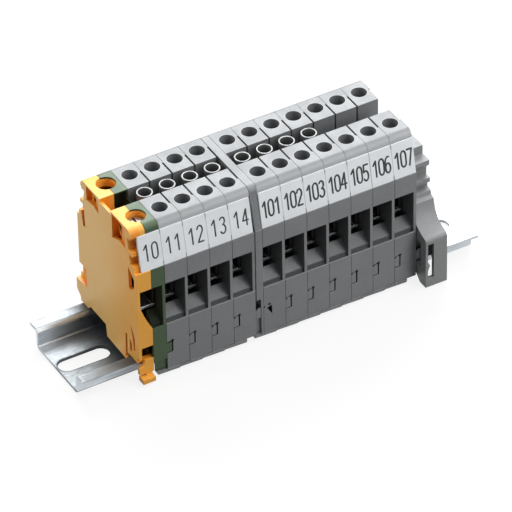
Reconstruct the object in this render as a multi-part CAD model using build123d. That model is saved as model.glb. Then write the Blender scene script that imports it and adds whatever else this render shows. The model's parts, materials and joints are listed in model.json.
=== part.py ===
from build123d import *
import math
import os

# Strip of screw terminals on a perforated top-hat rail, in millimetres.
# X runs along the rail, -Y is the front with the tags, Z is up from the rail's underside.
# The origin is the middle of the rail's underside.

# Rail
rail_length = 144.0
rail_width = 35.0
rail_height = 7.5
rail_sheet = 1.0
rail_channel = 25.0
rail_bend = 0.8
slot_length = 18.0
slot_width = 6.3
slot_pitch = 25.0

# Row of terminals along X
row_left = -52.9
ground_width = 10.0
yellow_width = 5.2
pitch = 8.0
first_group = 4
second_group = 7
bridged = 4
cover_width = 2.8
cover_plate = 0.9
cover_notch = 3.6
cover_relief = 0.25
cover_backing = 0.3
tag_short = 0.4
tag_inset = 1.2
tag_count = 5
side_gap = 0.05

# Outline shared by every terminal, from its valley to its foot
tower_top = 58.0
tower_reach = 16.4
tower_round = 2.2
tower_step = 0.4
roof = 8.0
valley_half = 3.4
valley_depth = 14.0
face = 19.0
shelf_drop = 15.0
tag_drop = 2.8
tag_reach = 18.8
tag_sheet = 1.0
tag_groove = 0.24
tag_notch = 1.6
ledge_drops = (3.6, 7.8, 9.4, 12.8)
carrier_depth = 1.9
wall = 1.0
panel = 1.2
panel_low = 2.0
seat_clear = 0.2
hook_tip = 1.3
hook_nose = 0.7
hook_rise = 1.0
arch_half = 10.5
arch_rise = 1.6

# Wire entries and wells
well_y = 9.5
well_radius = 2.55
bay_inner = 5.0
bay_outer = 14.6
bay_clear = 3.0
funnel_roof = 0.8
funnel_drop = 4.0
funnel_step = 2.6
funnel_rise = 1.5
funnel_ledge = 1.0
slit = 0.5
slit_depth = 8.0

# Interlock between neighbours and the strip under the front panel
tab_length = 1.8
tab_low = 8.4
tab_high = 12.0
tab_clear = 0.25
lip_low = 0.5
lip_high = 1.9
lip_shift = 3.4
lip_depth = 2.2
lip_proud = 0.3
lip_slant = 0.4
lip_taper = 0.4
lip_ear = 1.0
lip_ear_top = 2.9
mark_length = 1.8
mark_depth = 2.0
mark_place = 1.2
mark_drop = 0.7

# Metal parts
screw_head = 2.3
screw_head_height = 3.0
screw_shank = 1.75
screw_depth = 11.0
screw_slot = 0.8
screw_slot_depth = 1.2
thread_clear = 0.05
tip_gap = 0.2
rod_sides = 12
cage_half = 2.75
cage_length = 5.0
cage_wall = 1.0
cage_drop = 12.6
cage_nut = 2.2
bar_depth = 21.4
bar_thick = 1.6
bar_half = 1.5
bar_reach = 13.4
bar_boss = 2.1
boss_rise = 1.0
sleeve_radius = 2.65
sleeve_bore = 2.3
sleeve_drop = 0.5
bridge_bar = 1.4
bridge_half = 2.9
bridge_head = 1.9
bridge_head_height = 2.6
bridge_shank = 1.3
bridge_slot = 0.6
bridge_slot_depth = 0.9

# Ground terminal
ground_well = 3.2
ground_ring = 0.7
ground_ring_drop = 0.7
ground_cage_half = 3.6
ground_cage_length = 8.0
ground_head = 2.9
ground_shank = 2.5
ground_screw_depths = (2.5, 7.0)
ground_jaw = 3.0
ground_foot = 2.0
ground_valley = 18.0
mouth_high = 9.4
mouth_middle = 4.6
green_wall = 0.6
green_low = 6.2
yellow_low = 3.3
yellow_wall = 1.1
pocket = 1.7
window = 3.2
green_niche = 2.0
skirt_back = 0.75

# End bracket
bracket_width = 8.0
bracket_gap = 0.2
bracket_clear = 0.15
bracket_top = 44.5
bracket_foot = 24.5
bracket_foot_top = 19.2
bracket_foot_low = 0.4
bracket_slot = 2.1
bracket_slot_low = 3.7
bracket_slot_high = 17.3
bracket_wall = 1.3
bracket_side = 0.9
bracket_round = 1.5
bracket_latch = 0.9

# Places that follow from the sizes above
tag_top = tower_top - tag_drop
tower_face = tower_reach - tower_step
ledge_high, ledge_mid_top, ledge_mid_low, ledge_low = [tower_top - drop for drop in ledge_drops]
shelf = tower_top - shelf_drop
valley_floor = tower_top - valley_depth
sleeve_top = tower_top - sleeve_drop
screw_top = tower_top - screw_depth
bar_top = tower_top - bar_depth
cage_low = bar_top - cage_drop
bay_low = cage_low - bay_clear
funnel_top = bar_top - funnel_roof
funnel_lip = cage_low - funnel_drop
ground_valley_floor = tower_top - ground_valley
rail_top = rail_height
flange_edge = rail_width / 2
flange_under = rail_height - rail_sheet
seam_x = row_left + yellow_width
first_left = row_left + ground_width
cover_left = first_left + first_group * pitch
second_left = cover_left + cover_width
row_right = second_left + second_group * pitch
bracket_left = row_right + bracket_gap
ground_x = row_left + ground_width / 2 + 0.6
pad_outer = face - 2 * panel - side_gap
pad_inner = rail_channel / 2 + rail_sheet
cover_notch_top = tab_high + cover_notch
foot_under = rail_top + wall + 2 * side_gap
foot_top = foot_under + ground_foot
first_centres = [first_left + pitch * (i + 0.5) for i in range(first_group)]
second_centres = [second_left + pitch * (i + 0.5) for i in range(second_group)]
half = pitch / 2
right_face = half - side_gap
tower_corners = [(tower_face, tower_top), (-tower_face, tower_top)]
cut_over = 1.0
overlap = 0.1


def plate(outline, left, right):
    """Solid with a Y-Z outline between two places on X."""
    shape = Plane.YZ.offset(left) * make_face(Polyline(*outline, close=True))
    return extrude(shape, right - left)


def block(x, y, z):
    """Box from three pairs of low and high."""
    spans = (x, y, z)
    sizes = [high - low for low, high in spans]
    centre = [(high + low) / 2 for low, high in spans]
    return Pos(*centre) * Box(*sizes)


def post(radius, x, y, low, high):
    """Upright cylinder."""
    return Pos(x, y, (low + high) / 2) * Cylinder(radius, high - low)


def rod(radius, x, y, low, high):
    """Upright rod with a few flat sides, for a thread that stays out of sight."""
    return Pos(x, y, low) * extrude(RegularPolygon(radius, rod_sides), high - low)


def bore(radius, x, y, low, high):
    """Hole for a rod, whose flat sides clear the rod's corners."""
    return rod(radius / math.cos(math.pi / rod_sides), x, y, low, high)


def mirrored(points):
    """The same outline points on the other side of the rail."""
    return [(-y, z) for y, z in points]


def both_sides(solid):
    """A solid and its mirror image across the rail."""
    return [solid, mirror(solid, Plane.XZ)]


def round_towers(solid, corners, radius):
    """Rounds the long X edges that pass through the given Y-Z corners."""
    edges = solid.edges().filter_by(Axis.X)
    picked = []
    for edge in edges:
        middle = edge.center()
        for y, z in corners:
            if abs(middle.Y - y) < 0.01 and abs(middle.Z - z) < 0.01:
                picked.append(edge)
    return fillet(picked, radius)


def tag_back(z):
    """How far out the back of a tag stands at a height."""
    slope = (tag_reach - tower_reach) / (tag_top - shelf)
    return tower_reach + (tag_top - z) * slope - tag_sheet


def carrier():
    """Marker ledges and grooves from the tower's edge down to the shelf."""
    return [
        (tower_face, tag_top),
        (tag_back(tag_top), tag_top),
        (tag_back(ledge_high), ledge_high),
        (tag_back(ledge_high) - carrier_depth, ledge_high),
        (tag_back(ledge_mid_top) - carrier_depth, ledge_mid_top),
        (tag_back(ledge_mid_top), ledge_mid_top),
        (tag_back(ledge_mid_low), ledge_mid_low),
        (tag_back(ledge_mid_low) - carrier_depth, ledge_mid_low),
        (tag_back(ledge_low) - carrier_depth, ledge_low),
        (tag_back(ledge_low), ledge_low),
        (tag_back(shelf), shelf),
        (face, shelf),
    ]


def foot(low):
    """Panel end and the hook that grips the rail's flange, from the face inward."""
    inner = face - panel
    return [
        (face, low),
        (inner, low),
        (inner, low + hook_rise),
        (flange_edge - hook_tip, flange_under - seat_clear - hook_nose),
        (flange_edge - hook_tip, flange_under - seat_clear),
        (inner, flange_under - seat_clear),
        (inner, rail_top),
        (arch_half + arch_rise, rail_top),
        (arch_half, rail_top + arch_rise),
    ]


def terminal_outline():
    """Whole closed outline of a terminal, each side from the valley out and down to the arch."""
    top = [(valley_half, valley_floor), (valley_half, tower_top), (tower_face, tower_top)]
    side = top + carrier() + foot(panel_low)
    return side + list(reversed(mirrored(side)))


def funnel_cut(left, right):
    """Wire entry: level roof, floor that falls outward to a step and a narrow ledge at the lip."""
    ledge = face - funnel_ledge
    outline = [
        (bay_outer - cut_over, funnel_top),
        (face + cut_over, funnel_top),
        (face + cut_over, funnel_lip),
        (ledge, funnel_lip),
        (ledge, funnel_lip + funnel_step),
        (bay_outer - cut_over, funnel_lip + funnel_step + funnel_rise),
    ]
    return plate(outline, left, right)


def inner_cuts(left, right):
    """Hollows of a shell that is open at its left: bays, bar slot and lightening cells."""
    x = (left, right)
    cuts = both_sides(block(x, (bay_inner, bay_outer), (bay_low, tower_top - roof)))
    cuts += both_sides(funnel_cut(left, right))
    cuts += both_sides(block(x, (wall, face - 2 * panel), (rail_top + 2 * arch_rise, funnel_lip - wall)))
    bar_low = bar_top - bar_thick
    cuts.append(block(x, (-bay_outer, bay_outer), (bar_low - wall / 2, bar_top + wall / 2)))
    cuts.append(block(x, (wall - bay_inner, bay_inner - wall), (bay_low + wall, bar_low - 2 * wall)))
    cuts.append(block(x, (-sleeve_radius, sleeve_radius), (bar_top, valley_floor - 2 * wall)))
    return cuts


def front_prism(outline, back, front):
    """Solid with an X-Z outline between two places on Y, the second nearer the front."""
    shape = Plane.XZ.offset(-back) * make_face(Polyline(*outline, close=True))
    return extrude(shape, back - front)


def lip():
    """Strip under the panel, a little proud of it, slanted and tapered, with an ear at its left."""
    left = -half - lip_shift
    right = half - lip_shift - side_gap
    outline = [
        (-face - lip_proud, lip_high), (-face - lip_proud + lip_slant, lip_low),
        (lip_depth - face, lip_low), (lip_depth - face, lip_high),
    ]
    strip = plate(outline, left, right)
    under = [(left - cut_over, lip_low - cut_over), (left - cut_over, lip_low + lip_taper),
             (right, lip_low), (right, lip_low - cut_over)]
    strip -= front_prism(under, -face + 2 * lip_depth, -face - lip_depth)
    ear_y = (panel + seat_clear - face, lip_depth - face)
    return strip + block((left, left + lip_ear), ear_y, (lip_high - overlap, lip_ear_top))


def grey_housing(with_sleeve, with_mark):
    """Moulded shell of one feed-through terminal, centred on X, open at its left."""
    body = plate(terminal_outline(), -half, right_face)
    body = round_towers(body, tower_corners, tower_round)
    inner_right = right_face - wall
    body -= inner_cuts(-half - cut_over, inner_right)
    body -= both_sides(post(well_radius, 0, well_y, tower_top - roof - cut_over, tower_top + cut_over))
    slit_z = (tower_top - slit_depth, tower_top + cut_over)
    body -= both_sides(block((right_face - slit, half), (valley_half - cut_over, well_y), slit_z))
    if with_sleeve:
        body -= bore(bridge_shank + 2 * tab_clear, 0, 0, bar_top, valley_floor + cut_over)
    if with_mark:
        tip = -half + mark_place
        base = tip + mark_length
        mark = [(tip, tab_high - mark_drop), (base, tab_high), (base, tab_low)]
        body -= front_prism(mark, mark_depth - face, -face - cut_over)
    else:
        notch_x = (-half - cut_over, -half + tab_length + tab_clear)
        notch_y = (-face - cut_over, panel - face)
        body -= block(notch_x, notch_y, (tab_low - tab_clear / 2, tab_high + tab_clear / 2))
    tab_x = (right_face, right_face + tab_length)
    body += block(tab_x, (-face, panel - face - side_gap), (tab_low, tab_high))
    body += lip()
    link_x = (-half, half - lip_shift - side_gap)
    body += block(link_x, (-face, panel - face), (lip_high - overlap, panel_low + panel))
    return body


def end_cover():
    """Thick cover with a rim on its left, cut back low at the front for the neighbour's tab."""
    side = [(0, tower_top), (tower_face, tower_top), (tower_face, tag_top), (tag_reach, shelf), (face, shelf)]
    side += foot(panel_low)
    body = plate(side + list(reversed(mirrored(side))), cover_left + side_gap, second_left - side_gap)
    body = round_towers(body, tower_corners, tower_round)
    rim = (cover_left - cut_over, second_left - cover_plate)
    hollow = tower_reach - 2 * panel
    body -= block(rim, (-hollow, hollow), (rail_top + 3 * wall, tower_top - roof))
    body -= block(rim, (-face - cut_over, panel - cover_backing - face), (0, cover_notch_top))
    body -= block(rim, (-face - cut_over, 2 * panel - face), (tab_low - tab_clear, cover_notch_top))
    relief = (cover_left - cut_over, cover_left + cover_relief)
    body -= block(relief, (-face - cut_over, 2 * panel - face), (0, tag_top))
    return body


def side_ground_points():
    """Back edge of the ground terminal: shoulder, straight back and the foot's heel."""
    return [
        (face, 17.5),
        (face + 2.4, 16.8),
        (face + 2.4, 11.0),
        (face, 9.0),
    ]


def ground_outline(front_low):
    """Outline of the ground terminal: towers joined by a lower side wall, foot in the channel."""
    channel_front = rail_channel / 2 - 0.9
    front = mirrored([(tower_face, tower_top)] + carrier() + [
        (face, front_low),
        (face - panel, front_low),
        (face - panel, rail_top),
        (channel_front, rail_top),
    ])
    arch_top = rail_top + arch_rise
    channel = [(-channel_front, 4.0), (2.0, 4.6), (2.6, arch_top), (rail_channel / 2, arch_top)]
    back = [(tower_face, tower_top)] + carrier() + side_ground_points()
    heel = [(face, rail_top), (rail_channel / 2 + arch_rise, rail_top)]
    return front + channel + list(reversed(back + heel))


def yellow_shell():
    """Left half of the ground terminal: closed side, pockets, half of each well, ring walls."""
    seam = seam_x - side_gap
    body = plate(ground_outline(yellow_low), row_left, seam)
    body = round_towers(body, tower_corners, tower_round)
    inner = row_left + yellow_wall
    x = (inner, seam + cut_over)
    body -= block(x, (-valley_half, valley_half), (ground_valley_floor, tower_top + cut_over))
    side_wall = (row_left - cut_over, x[0])
    body -= block(side_wall, (-valley_half, valley_half), (tower_top - panel, tower_top + cut_over))
    body -= both_sides(block(x, (bay_inner, bay_outer), (bay_low, tower_top - roof)))
    body -= block(x, (-bay_outer, bay_outer), (bay_low + ground_jaw, funnel_top + wall))
    body -= block(x, (-ground_jaw - wall, ground_jaw + wall), (0, bay_low + 2 * ground_jaw))
    body -= block(x, (-face - cut_over, face - 2 * panel), (rail_top + wall, rail_top + 2 * ground_jaw))
    body -= both_sides(block(x, (pad_inner - side_gap, face - 2 * panel), (0, rail_top + 2 * wall)))
    body -= both_sides(yellow_mouth(inner, seam + cut_over))
    body += yellow_rings(seam)
    body -= both_sides(post(ground_well, ground_x, well_y, tower_top - roof - cut_over, tower_top + cut_over))
    for cut in yellow_side_cuts():
        body -= cut
    body += yellow_latch()
    return body


def yellow_mouth(left, right):
    """Wire entry on the yellow side: the lower left corner is a wide curve."""
    low = (left, funnel_lip + mouth_high)
    middle = (left + 0.45 * (seam_x - left), funnel_lip + mouth_middle)
    end = (seam_x, funnel_lip)
    edge = Spline((low[0], low[1]), middle, end)
    rest = Polyline(end, (right, funnel_lip), (right, funnel_top), (left, funnel_top), low)
    shape = Plane.XZ.offset(bay_outer - cut_over) * make_face([*edge.edges(), *rest.edges()])
    return mirror(extrude(shape, face - bay_outer + 2 * cut_over), Plane.XZ)


def yellow_rings(seam):
    """Ring walls round both wells, which pass the seam into the green half."""
    ring_top = tower_top - ground_ring_drop
    low = tower_top - roof
    radius = ground_well + ground_ring
    ring = post(radius, ground_x, well_y, low, ring_top)
    ring -= block((row_left, seam), (0, face), (low - 1, tower_top + 1))
    return both_sides(ring)


def yellow_side_cuts():
    """Pockets, windows and latch slots that show on the closed side, front of the strip at -Y."""
    deep = (row_left - cut_over, row_left + pocket)
    thin = (row_left - cut_over, row_left + pocket / 2)
    through = (row_left - cut_over, row_left + window)
    top = tower_top - ground_ring
    tower = [
        (deep, [(-4.2, 0), (-8.8, 0), (-8.8, 7.3), (-4.2, 9.1)]),
        (through, [(-4.2, 0.6), (-6.0, 0.6), (-6.0, 8.4), (-4.2, 9.1)]),
        (thin, [(-8.7, 0), (-12.2, 1.2), (-12.4, 7.9), (-8.7, 7.3)]),
        (deep, [(12.2, 0), (7.4, 0), (7.4, 4.7), (12.2, 5.3)]),
        (thin, [(7.5, 0), (4.6, 1.0), (4.4, 5.9), (7.5, 4.7)]),
    ]
    cuts = [plate([(y, top - drop) for y, drop in outline], *depth) for depth, outline in tower]
    shoulder = [(face, 11.0), (14.2, 11.0), (13.8, 18.2), (15.2, 18.2), (16.2, 12.5), (face, 12.5)]
    tear = [(-13.8, 14.8), (-17.6, 18.0), (-17.2, 21.2), (-15.6, 22.8), (-14.0, 23.0)]
    cuts.append(plate([(y, tower_top - drop) for y, drop in shoulder], *deep))
    cuts.append(plate([(y, tower_top - drop) for y, drop in tear], *deep))
    heel = [(22.0, 23.0), (14.4, 23.0), (14.4, 15.4), (22.0, 15.4)]
    latch = [(-10.5, 15.0), (-11.5, 15.0), (-11.4, 5.4), (-10.2, 5.4)]
    toe = [(-14.1, 20.3), (-16.5, 16.6), (-16.6, 11.2), (-15.6, 11.2), (-15.2, 15.6)]
    spring = [(-13.0, 14.4), (-14.6, 13.0), (-14.6, 9.6), (-13.2, 9.6)]
    cuts += [plate(outline, *deep) for outline in (heel, latch, toe, spring)]
    corner = [(row_left, 9.6), (row_left + 2.2, 8.4), (row_left + 1.2, 6.4), (row_left, 5.8)]
    cuts.append(front_prism(corner, panel - face, -face - cut_over))
    return cuts


def yellow_latch():
    """Hooked tongue under the front panel of the yellow half."""
    left = row_left + 0.1
    right = seam_x - 0.6
    link_left = row_left + 2.4
    tongue = block((left, right), (-face - 2.2, 0.8 - face), (1.0, 2.6))
    link = block((link_left, right), (-face, panel - face), (2.0, yellow_low + 1.0))
    return tongue + link


def green_shell():
    """Right half of the ground terminal: wells' other half, thin right wall, low side wall in the valley."""
    right = first_left - side_gap
    outline = ground_outline(green_low)
    body = plate(outline, seam_x, right)
    body = round_towers(body, tower_corners, tower_round)
    x = (seam_x - cut_over, right - green_wall)
    body -= block(x, (-valley_half, valley_half), (ground_valley_floor, tower_top + cut_over))
    body -= block((seam_x, first_left), (-valley_half, valley_half), (tower_top - 3.4, tower_top + cut_over))
    body -= both_sides(block(x, (bay_inner, bay_outer), (bay_low, tower_top - roof)))
    body -= block(x, (-bay_outer, bay_outer), (bay_low + ground_jaw, funnel_top + wall))
    body -= block(x, (-ground_jaw - wall, ground_jaw + wall), (0, bay_low + 2 * ground_jaw))
    body -= block(x, (-face + panel, face - 2 * panel), (rail_top + wall, rail_top + 2 * ground_jaw))
    body -= both_sides(block(x, (pad_inner - side_gap, face - 2 * panel), (0, rail_top + 2 * wall)))
    body -= both_sides(funnel_cut(x[0], right - wall))
    niche = (tower_top - roof - ground_ring, tower_top - green_wall)
    body -= block(x, (valley_half - cut_over, valley_half + green_niche), niche)
    ring_radius = ground_well + ground_ring + side_gap
    ring_top = tower_top - ground_ring_drop + side_gap
    body -= both_sides(post(ring_radius, ground_x, well_y, tower_top - roof - cut_over, ring_top))
    body -= both_sides(post(ground_well, ground_x, well_y, tower_top - roof - cut_over, tower_top + cut_over))
    body += block((right, right + tab_length), (-face, panel - face - side_gap), (tab_low, tab_high))
    skirt_y = (skirt_back - face, panel + overlap - face)
    body += block((seam_x + skirt_back, right), skirt_y, (panel_low, green_low + hook_rise))
    return body


def rail():
    """Top-hat rail with rounded bends and elongated slots."""
    inner = rail_channel / 2
    outer = inner + rail_sheet
    side = [(inner, rail_sheet), (inner, rail_top), (flange_edge, rail_top), (flange_edge, flange_under)]
    side += [(outer, flange_under), (outer, 0)]
    outline = side + list(reversed(mirrored(side)))
    body = plate(outline, -rail_length / 2, rail_length / 2)
    inside = [(inner, rail_sheet), (-inner, rail_sheet), (outer, flange_under), (-outer, flange_under)]
    body = round_towers(body, inside, rail_bend)
    outside = [(inner, rail_top), (-inner, rail_top), (outer, 0), (-outer, 0)]
    body = round_towers(body, outside, rail_bend + rail_sheet)
    count = int(rail_length // slot_pitch) + 1
    for i in range(count):
        place = (i - (count - 1) / 2) * slot_pitch
        slot = SlotOverall(slot_length, slot_width)
        body -= Pos(place, 0, -cut_over) * extrude(slot, rail_sheet + 2 * cut_over)
    return body


def end_bracket():
    """Snap-on end bracket: stepped marker ribs, long slope, outward foot with a screwdriver slot."""
    seat = rail_top + bracket_clear
    gap = bracket_clear
    foot_y = bracket_foot
    front = [
        (9.3, bracket_top), (9.3, 41.2), (13.3, 41.2), (13.3, 39.5), (11.6, 37.4), (11.6, 34.6),
        (13.8, 34.6), (13.8, 32.9), (12.3, 31.8), (12.3, 30.4), (14.2, 29.9), (14.6, 28.4),
        (16.0, 27.9), (16.9, 24.6), (19.0, 21.6), (21.6, 20.0), (foot_y, bracket_foot_top),
        (foot_y, bracket_foot_low), (21.0, bracket_foot_low), (flange_edge - hook_tip, 4.9),
        (flange_edge - hook_tip, flange_under - gap), (flange_edge + gap, flange_under - gap),
        (flange_edge + gap, seat),
    ]
    back = [
        (9.3, bracket_top), (12.4, 36.0), (17.6, 20.0), (face, 14.0), (face, 3.4),
        (flange_edge + 2 * gap, 3.0), (flange_edge - hook_tip, 4.9),
        (flange_edge - hook_tip, flange_under - gap),
        (flange_edge + gap, flange_under - gap), (flange_edge + gap, seat),
    ]
    right = bracket_left + bracket_width
    body = plate(mirrored(front) + list(reversed(back)), bracket_left, right)
    body = round_towers(body, [(-foot_y, bracket_foot_top)], bracket_round)
    inside = bracket_wall - foot_y
    slot_x = (bracket_left + bracket_side, bracket_left + bracket_side + bracket_slot)
    well_z = (-cut_over, bracket_foot_top - 2 * bracket_round)
    body -= block((slot_x[0], right - bracket_side), (inside, -face), well_z)
    body -= block(slot_x, (-foot_y - cut_over, -face), (bracket_slot_low, bracket_slot_high))
    clear_x = (slot_x[1] + 2 * panel / 3, right - bracket_side)
    body -= block(clear_x, (inside, -flange_edge - gap), (-cut_over, bracket_slot_high - 2 * bracket_round))
    body -= block(clear_x, (inside, -pad_inner), (-cut_over, flange_under - gap))
    recess_z = (rail_top - 0.5, bracket_foot_top - 2.8)
    body -= block((bracket_left - cut_over, slot_x[1]), (-21.4, 2 * panel - face), recess_z)
    bump = [(slot_x[0] - overlap, 6.2), (slot_x[0] + bracket_latch, 8.7), (slot_x[0] - overlap, 10.6)]
    body += front_prism(bump, inside, seat_clear - foot_y)
    pocket_x = (bracket_left + 1.6, right + cut_over)
    body -= plate(bracket_pocket(12.4, 24.6, 9.8, 6.4), *pocket_x)
    body -= plate(bracket_pocket(26.2, 40.0, 5.8, 4.6), *pocket_x)
    return body


def bracket_pocket(low, high, half_low, half_high):
    """Tapered lightening pocket, symmetric across the rail."""
    return [(half_low, low), (half_high, high), (-half_high, high), (-half_low, low)]


def tag_strip(left, count, width, first_width, short):
    """Strip of tags on the slanted front, with a fine groove between tags, short of the last edge."""
    edges = [left, left + first_width]
    for i in range(count - 1):
        edges.append(edges[-1] + width)
    low = shelf + side_gap
    outline = [
        (tag_back(tag_top) + side_gap, tag_top), (tower_reach, tag_top),
        (tag_back(low) + tag_sheet, low), (tag_back(low) + side_gap, low),
    ]
    body = plate(mirrored(outline), left + side_gap, edges[-1] - short)
    for place in edges[1:-1]:
        groove = (place - tag_groove / 2, place + tag_groove / 2)
        body -= block(groove, (-tower_reach - tag_sheet / 2, 0), (tag_top - tag_notch, tag_top + cut_over))
        body -= block(groove, (-face, 0), (low - cut_over, low + tag_notch))
    return body


def clamp_screw(x, y, top, head, shank, tip):
    """Slotted clamping screw: low head, plain shank for the thread."""
    head_low = top - screw_head_height
    body = post(head, x, y, head_low, top) + rod(shank, x, y, tip, head_low + overlap)
    slot_x = (x - screw_slot / 2, x + screw_slot / 2)
    slot_y = (y - head - cut_over, y + head + cut_over)
    body -= block(slot_x, slot_y, (top - screw_slot_depth, top + cut_over))
    return body


def clamp_cage(x, y, half_width, length, shank):
    """Box clamp: open front to back for bar and wire, threaded block at its top."""
    high = bar_top + cage_wall + cage_nut
    outer = block((x - half_width, x + half_width), (y - length / 2, y + length / 2), (cage_low, high))
    inner_x = (x - half_width + cage_wall, x + half_width - cage_wall)
    inner_y = (y - length / 2 - cut_over, y + length / 2 + cut_over)
    outer -= block(inner_x, inner_y, (cage_low + cage_wall, bar_top + cage_wall))
    outer -= bore(shank + thread_clear, x, y, bar_top, high + cut_over)
    return outer


def current_bar(x, threaded):
    """Flat bar from cage to cage, with a boss under the valley where a bridge screw goes in."""
    body = block((x - bar_half, x + bar_half), (-bar_reach, bar_reach), (bar_top - bar_thick, bar_top))
    if threaded:
        body += rod(bar_boss, x, 0, bar_top - bar_thick, bar_top + boss_rise)
        hole = (bar_top - bar_thick - cut_over, bar_top + boss_rise + cut_over)
        body -= bore(bridge_shank + thread_clear, x, 0, *hole)
    return body


def bridge(centres):
    """Cross-connecting bar on the floor of the valley, with a clearance hole at each terminal."""
    left = centres[0] - bridge_half
    right = centres[-1] + bridge_half
    body = block((left, right), (-bridge_half, bridge_half), (valley_floor, valley_floor + bridge_bar))
    for x in centres:
        hole = (valley_floor - cut_over, valley_floor + bridge_bar + cut_over)
        body -= bore(bridge_shank + seat_clear, x, 0, *hole)
    return body


def sleeve(x):
    """Round metal sleeve that stands on the bridge bar."""
    low = valley_floor + bridge_bar
    hollow = post(sleeve_bore, x, 0, low - cut_over, sleeve_top + cut_over)
    return post(sleeve_radius, x, 0, low, sleeve_top) - hollow


def bridge_screw(x):
    """Slotted screw at the bottom of a sleeve, into the current bar."""
    low = valley_floor + bridge_bar + 2 * side_gap
    top = low + bridge_head_height
    body = post(bridge_head, x, 0, low, top) + rod(bridge_shank, x, 0, bar_top - bar_thick, low + overlap)
    slot_x = (x - bridge_slot / 2, x + bridge_slot / 2)
    slot_y = (-bridge_head - cut_over, bridge_head + cut_over)
    body -= block(slot_x, slot_y, (top - bridge_slot_depth, top + cut_over))
    return body


def ground_clamp():
    """Metal piece of the ground terminal: current bar, stem and a foot with a pad on each flange."""
    left = ground_x - ground_jaw / 2
    right = ground_x + ground_jaw / 2
    bar_low = bar_top - bar_thick
    side = [
        (bar_reach, bar_top), (bar_reach, bar_low), (ground_jaw, bar_low), (ground_jaw, foot_top),
        (pad_outer, foot_top), (pad_outer, rail_top), (pad_inner, rail_top), (pad_inner, foot_under),
    ]
    return plate(side + list(reversed(mirrored(side))), left, right)


def build():
    """Every node of the strip by name."""
    nodes = {"rail": rail(), "ground_yellow_shell": yellow_shell(), "ground_green_shell": green_shell()}
    nodes["end_cover"] = end_cover()
    nodes["end_bracket"] = end_bracket()
    nodes["ground_rail_clamp"] = ground_clamp()
    centres = first_centres + second_centres
    bridged_centres = [[group[i] for i in range(bridged)] for group in (first_centres, second_centres)]
    sleeved = bridged_centres[0] + bridged_centres[1]
    plain = grey_housing(False, False)
    bored = grey_housing(True, False)
    marked = grey_housing(True, True)
    for i, x in enumerate(centres):
        shape = bored if x in sleeved else plain
        if i == first_group:
            shape = marked
        nodes[f"housing_{i + 1:02d}"] = Pos(x, 0, 0) * shape
    first_tag = ground_width - tag_inset
    nodes["tags_a"] = tag_strip(row_left + tag_inset, 1 + first_group, pitch, first_tag, tag_short)
    second_tags = second_left + tag_count * pitch
    nodes["tags_b"] = tag_strip(second_left, tag_count, pitch, pitch, side_gap)
    nodes["tags_c"] = tag_strip(second_tags, second_group - tag_count, pitch, pitch, side_gap)
    for group, places in zip("ab", bridged_centres):
        nodes[f"bridge_bar_{group}"] = bridge(places)
    nodes["bridge_sleeves"] = Compound(children=[sleeve(x) for x in sleeved])
    for i, x in enumerate(sleeved):
        nodes[f"bridge_screw_{i + 1}"] = bridge_screw(x)
    nodes["current_bars"] = Compound(children=[current_bar(x, x in sleeved) for x in centres])
    cages = []
    for side, word, depth in zip((-1, 1), ("front", "back"), ground_screw_depths):
        y = side * well_y
        top = tower_top - depth
        tip = bar_top + tip_gap
        nodes[f"screw_{word}_00"] = clamp_screw(ground_x, y, top, ground_head, ground_shank, tip)
        cages.append(clamp_cage(ground_x, y, ground_cage_half, ground_cage_length, ground_shank))
        for i, x in enumerate(centres):
            nodes[f"screw_{word}_{i + 1:02d}"] = clamp_screw(x, y, screw_top, screw_head, screw_shank, tip)
            cages.append(clamp_cage(x, y, cage_half, cage_length, screw_shank))
    nodes["clamp_cages"] = Compound(children=cages)
    return nodes


os.makedirs("parts", exist_ok=True)
for name, shape in build().items():
    export_step(shape, f"parts/{name}.step")
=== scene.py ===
import json
import math

import bmesh
import bpy
from bpy.props import FloatProperty, FloatVectorProperty, IntProperty, PointerProperty, StringProperty
from mathutils import Matrix, Vector

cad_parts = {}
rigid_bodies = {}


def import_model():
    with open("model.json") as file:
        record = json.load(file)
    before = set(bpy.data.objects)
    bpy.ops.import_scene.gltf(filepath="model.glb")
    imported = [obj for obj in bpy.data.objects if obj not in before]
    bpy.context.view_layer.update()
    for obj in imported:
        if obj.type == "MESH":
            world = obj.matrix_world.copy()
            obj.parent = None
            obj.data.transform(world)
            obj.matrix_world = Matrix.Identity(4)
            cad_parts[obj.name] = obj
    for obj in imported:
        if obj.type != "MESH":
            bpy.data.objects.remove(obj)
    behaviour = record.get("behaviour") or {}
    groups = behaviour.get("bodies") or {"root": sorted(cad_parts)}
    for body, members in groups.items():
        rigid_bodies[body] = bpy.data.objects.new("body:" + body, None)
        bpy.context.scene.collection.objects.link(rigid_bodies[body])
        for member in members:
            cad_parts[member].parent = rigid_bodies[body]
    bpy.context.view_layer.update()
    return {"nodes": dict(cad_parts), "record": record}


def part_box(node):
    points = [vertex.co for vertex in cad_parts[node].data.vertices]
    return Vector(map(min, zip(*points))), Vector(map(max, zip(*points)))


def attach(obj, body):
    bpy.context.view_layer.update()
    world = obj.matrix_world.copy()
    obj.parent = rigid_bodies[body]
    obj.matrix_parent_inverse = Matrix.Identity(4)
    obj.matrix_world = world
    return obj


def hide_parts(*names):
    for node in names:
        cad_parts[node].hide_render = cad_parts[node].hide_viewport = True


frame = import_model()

bl_info = {
    "name": "Terminal strip",
    "version": (1, 0, 0),
    "blender": (4, 5, 0),
    "location": "View3D > Sidebar > Terminal strip",
    "description": "Dresses the packed strip of screw terminals on its rail",
    "category": "Object",
}

# One millimetre in metres, the scene's unit.
MM = 0.001
BODY = "strip"
GREY_COUNT = 11
FIRST_GROUP = 4
BRIDGE_SCREWS = 8


def node_box(node):
    """Lowest and highest corner of a CAD node in millimetres."""
    low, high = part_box(node)
    return low / MM, high / MM


def middle_of(node):
    """Middle of a CAD node's box in millimetres."""
    low, high = node_box(node)
    return (low + high) / 2


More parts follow.
